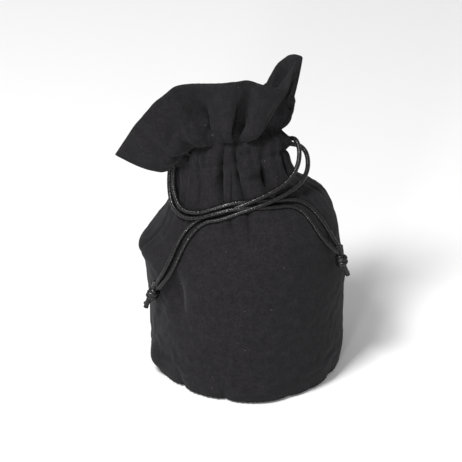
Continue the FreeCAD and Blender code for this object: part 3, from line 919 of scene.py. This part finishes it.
def cloth_material():
    """Soft brushed black cotton: a fine weave, a faint nap, slow mottling and a few specks of lint."""
    nodes = Nodes("black_cotton")
    place = nodes.add("ShaderNodeTexCoord")
    flat = nodes.add("ShaderNodeUVMap", uv_map="flat_cloth")
    mottle = nodes.add("ShaderNodeTexNoise", Scale=210.0, Detail=6.0, Roughness=0.75)
    nap = nodes.add("ShaderNodeTexNoise", Scale=720.0, Detail=3.0, Roughness=0.75)
    nodes.link(place.outputs["Object"], mottle.inputs["Vector"])
    nodes.link(place.outputs["Object"], nap.inputs["Vector"])
    tone = nodes.add("ShaderNodeValToRGB")
    tone.color_ramp.elements[0].position, tone.color_ramp.elements[1].position = 0.3, 0.72
    tone.color_ramp.elements[0].color = (0.0098, 0.0091, 0.0101, 1.0)
    tone.color_ramp.elements[1].color = (0.0176, 0.0163, 0.0176, 1.0)
    nodes.link(mottle.outputs["Fac"], tone.inputs["Fac"])
    fleck = nodes.add("ShaderNodeMixRGB", blend_type="MULTIPLY", Fac=0.9)
    nodes.link(tone.outputs["Color"], fleck.inputs["Color1"])
    grain = nodes.add("ShaderNodeMapRange")
    grain.inputs["To Min"].default_value, grain.inputs["To Max"].default_value = 0.0, 2.0
    nodes.link(nap.outputs["Fac"], grain.inputs["Value"])
    nodes.link(grain.outputs["Result"], fleck.inputs["Color2"])
    specks = nodes.add("ShaderNodeTexVoronoi", Scale=260.0)
    nodes.link(place.outputs["Object"], specks.inputs["Vector"])
    near = nodes.add("ShaderNodeMath", operation="LESS_THAN")
    near.inputs[1].default_value = 0.055
    nodes.link(specks.outputs["Distance"], near.inputs[0])
    rare = nodes.add("ShaderNodeSeparateColor")
    nodes.link(specks.outputs["Color"], rare.inputs["Color"])
    few = nodes.add("ShaderNodeMath", operation="GREATER_THAN")
    few.inputs[1].default_value = 0.86
    nodes.link(rare.outputs["Red"], few.inputs[0])
    lint = nodes.add("ShaderNodeMath", operation="MULTIPLY")
    nodes.link(near.outputs["Value"], lint.inputs[0])
    nodes.link(few.outputs["Value"], lint.inputs[1])
    dusted = nodes.add("ShaderNodeMixRGB")
    dusted.inputs["Color2"].default_value = (0.20, 0.19, 0.18, 1.0)
    nodes.link(lint.outputs["Value"], dusted.inputs["Fac"])
    nodes.link(fleck.outputs["Color"], dusted.inputs["Color1"])
    nodes.link(dusted.outputs["Color"], nodes.shader.inputs["Base Color"])
    warp = nodes.add("ShaderNodeTexWave", bands_direction="X", Scale=600.0, Distortion=1.2, Detail=1.0)
    weft = nodes.add("ShaderNodeTexWave", bands_direction="Y", Scale=600.0, Distortion=1.2, Detail=1.0)
    nodes.link(flat.outputs["UV"], warp.inputs["Vector"])
    nodes.link(flat.outputs["UV"], weft.inputs["Vector"])
    weave = nodes.add("ShaderNodeMath", operation="ADD")
    nodes.link(warp.outputs["Fac"], weave.inputs[0])
    nodes.link(weft.outputs["Fac"], weave.inputs[1])
    relief = nodes.add("ShaderNodeMath", operation="ADD")
    nodes.link(weave.outputs["Value"], relief.inputs[0])
    nodes.link(nap.outputs["Fac"], relief.inputs[1])
    bump = nodes.add("ShaderNodeBump", Strength=0.35, Distance=0.00012)
    nodes.link(relief.outputs["Value"], bump.inputs["Height"])
    nodes.link(bump.outputs["Normal"], nodes.shader.inputs["Normal"])
    nodes.shader.inputs["Roughness"].default_value = 0.93
    nodes.shader.inputs["Specular IOR Level"].default_value = 0.12
    nodes.shader.inputs["Sheen Weight"].default_value = 0.05
    nodes.shader.inputs["Sheen Roughness"].default_value = 0.45
    nodes.shader.inputs["Sheen Tint"].default_value = (0.75, 0.74, 0.78, 1.0)
    return nodes.material


def satin_material():
    """Glossy black satin cord, with fine threads that break up its shine."""
    nodes = Nodes("black_satin")
    place = nodes.add("ShaderNodeTexCoord")
    threads = nodes.add("ShaderNodeTexNoise", Scale=1700.0, Detail=3.0, Roughness=0.6)
    nodes.link(place.outputs["Object"], threads.inputs["Vector"])
    lustre = nodes.add("ShaderNodeTexNoise", Scale=820.0, Detail=2.0, Roughness=0.6)
    nodes.link(place.outputs["Object"], lustre.inputs["Vector"])
    tone = nodes.add("ShaderNodeValToRGB")
    tone.color_ramp.elements[0].position, tone.color_ramp.elements[1].position = 0.35, 0.7
    tone.color_ramp.elements[0].color = (0.0025, 0.0024, 0.0025, 1.0)
    tone.color_ramp.elements[1].color = (0.014, 0.012, 0.012, 1.0)
    nodes.link(threads.outputs["Fac"], tone.inputs["Fac"])
    nodes.link(tone.outputs["Color"], nodes.shader.inputs["Base Color"])
    bump = nodes.add("ShaderNodeBump", Strength=0.8, Distance=0.0002)
    nodes.link(lustre.outputs["Fac"], bump.inputs["Height"])
    nodes.link(bump.outputs["Normal"], nodes.shader.inputs["Normal"])
    shine = nodes.add("ShaderNodeMapRange")
    shine.inputs["From Min"].default_value, shine.inputs["From Max"].default_value = 0.38, 0.62
    shine.inputs["To Min"].default_value, shine.inputs["To Max"].default_value = 0.15, 0.48
    nodes.link(lustre.outputs["Fac"], shine.inputs["Value"])
    nodes.link(shine.outputs["Result"], nodes.shader.inputs["Roughness"])
    nodes.shader.inputs["Specular IOR Level"].default_value = 0.32
    return nodes.material


def thread_material():
    """Black sewing thread."""
    nodes = Nodes("black_thread")
    place = nodes.add("ShaderNodeTexCoord")
    twist = nodes.add("ShaderNodeTexNoise", Scale=3000.0, Detail=2.0)
    nodes.link(place.outputs["Object"], twist.inputs["Vector"])
    tone = nodes.add("ShaderNodeValToRGB")
    tone.color_ramp.elements[0].color = (0.004, 0.004, 0.004, 1.0)
    tone.color_ramp.elements[1].color = (0.012, 0.011, 0.012, 1.0)
    nodes.link(twist.outputs["Fac"], tone.inputs["Fac"])
    nodes.link(tone.outputs["Color"], nodes.shader.inputs["Base Color"])
    nodes.shader.inputs["Roughness"].default_value = 0.8
    nodes.shader.inputs["Specular IOR Level"].default_value = 0.08
    return nodes.material


def floor_material():
    """Plain near-white paper."""
    nodes = Nodes("pale_floor")
    nodes.shader.inputs["Base Color"].default_value = (0.92, 0.92, 0.92, 1.0)
    nodes.shader.inputs["Roughness"].default_value = 0.9
    return nodes.material


# ---------------------------------------------------------------- hidden runs, floor and lights

RUN_INSET = 6.9
RUN_STEPS = 160
RUN_SIDES = 14
# Each run's first and last angle and how far it lies above or below the casing's middle.
RUNS = {"right_drawstring_run": (31.6, 351.6, -1.5), "left_drawstring_run": (214.6, 534.6, 1.5)}


FLOOR_REACH = 3000.0
SURROUND = 0.42  # strength of the even white light from all round
LIGHT_AIM = (0.0, 0.0, 0.1)
# Each light's place and width in metres, and its watts.
LIGHTS = {
    "key": ((-0.5, -0.66, 1.38), 0.36, 24.0),
    "fill": ((0.9, -0.8, 0.9), 0.9, 1.0),
    "front": ((-0.3, -1.5, 0.4), 0.14, 6.5),
}


def make_runs(satin):
    """The stretches of the two drawstrings inside the casing, where only the slots show them."""
    casing = np.array(RINGS[12])
    for node, (start, end, rise) in RUNS.items():
        angles = np.linspace(start, end, RUN_STEPS)
        places, _ = ring_points(casing, angles, np.full(len(angles), RUN_INSET))
        places = places + np.array([0.0, 0.0, rise])
        vertices, faces = tube(places, CORD / 2, RUN_SIDES)
        piece = mesh_piece(node.replace("_run", "_core"), vertices, faces, satin, "satin_cord")
        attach(piece, "bag")
        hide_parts(node)


def make_floor():
    """A wide pale floor."""
    reach = FLOOR_REACH * MM
    corners = [(-reach, -reach, 0.0), (reach, -reach, 0.0), (reach, reach, 0.0), (-reach, reach, 0.0)]
    mesh = bpy.data.meshes.new("floor")
    mesh.from_pydata(corners, [], [(0, 1, 2, 3)])
    floor = bpy.data.objects.new("floor", mesh)
    bpy.context.scene.collection.objects.link(floor)
    floor.data.materials.append(floor_material())


def make_light(name, place, width, watts):
    """A square soft light that faces the bag."""
    data = bpy.data.lights.new(name, "AREA")
    data.shape = "SQUARE"
    data.size = width
    data.energy = watts
    light = bpy.data.objects.new(name, data)
    bpy.context.scene.collection.objects.link(light)
    light.location = place
    light.rotation_mode = "QUATERNION"
    light.rotation_quaternion = (Vector(LIGHT_AIM) - Vector(place)).to_track_quat("-Z", "Y")


def make_lights():
    """Soft studio light: an even surround, a key light high at the left, a fill and a low front light."""
    world = bpy.data.worlds.new("surround")
    world.use_nodes = True
    surround = world.node_tree.nodes["Background"]
    surround.inputs["Color"].default_value = (1.0, 1.0, 1.0, 1.0)
    surround.inputs["Strength"].default_value = SURROUND
    bpy.context.scene.world = world
    for name, values in LIGHTS.items():
        make_light(name, *values)
    bpy.context.scene.view_settings.view_transform = "Standard"


def main():
    """Makes every piece."""
    make_camera()
    cloth, satin, thread = cloth_material(), satin_material(), thread_material()
    make_knots(satin)
    make_cords(satin)
    make_base(cloth)
    grid, rows, stations = make_panels(cloth)
    make_stitches(grid, rows, stations, thread)
    make_runs(satin)
    make_floor()
    make_lights()


main()
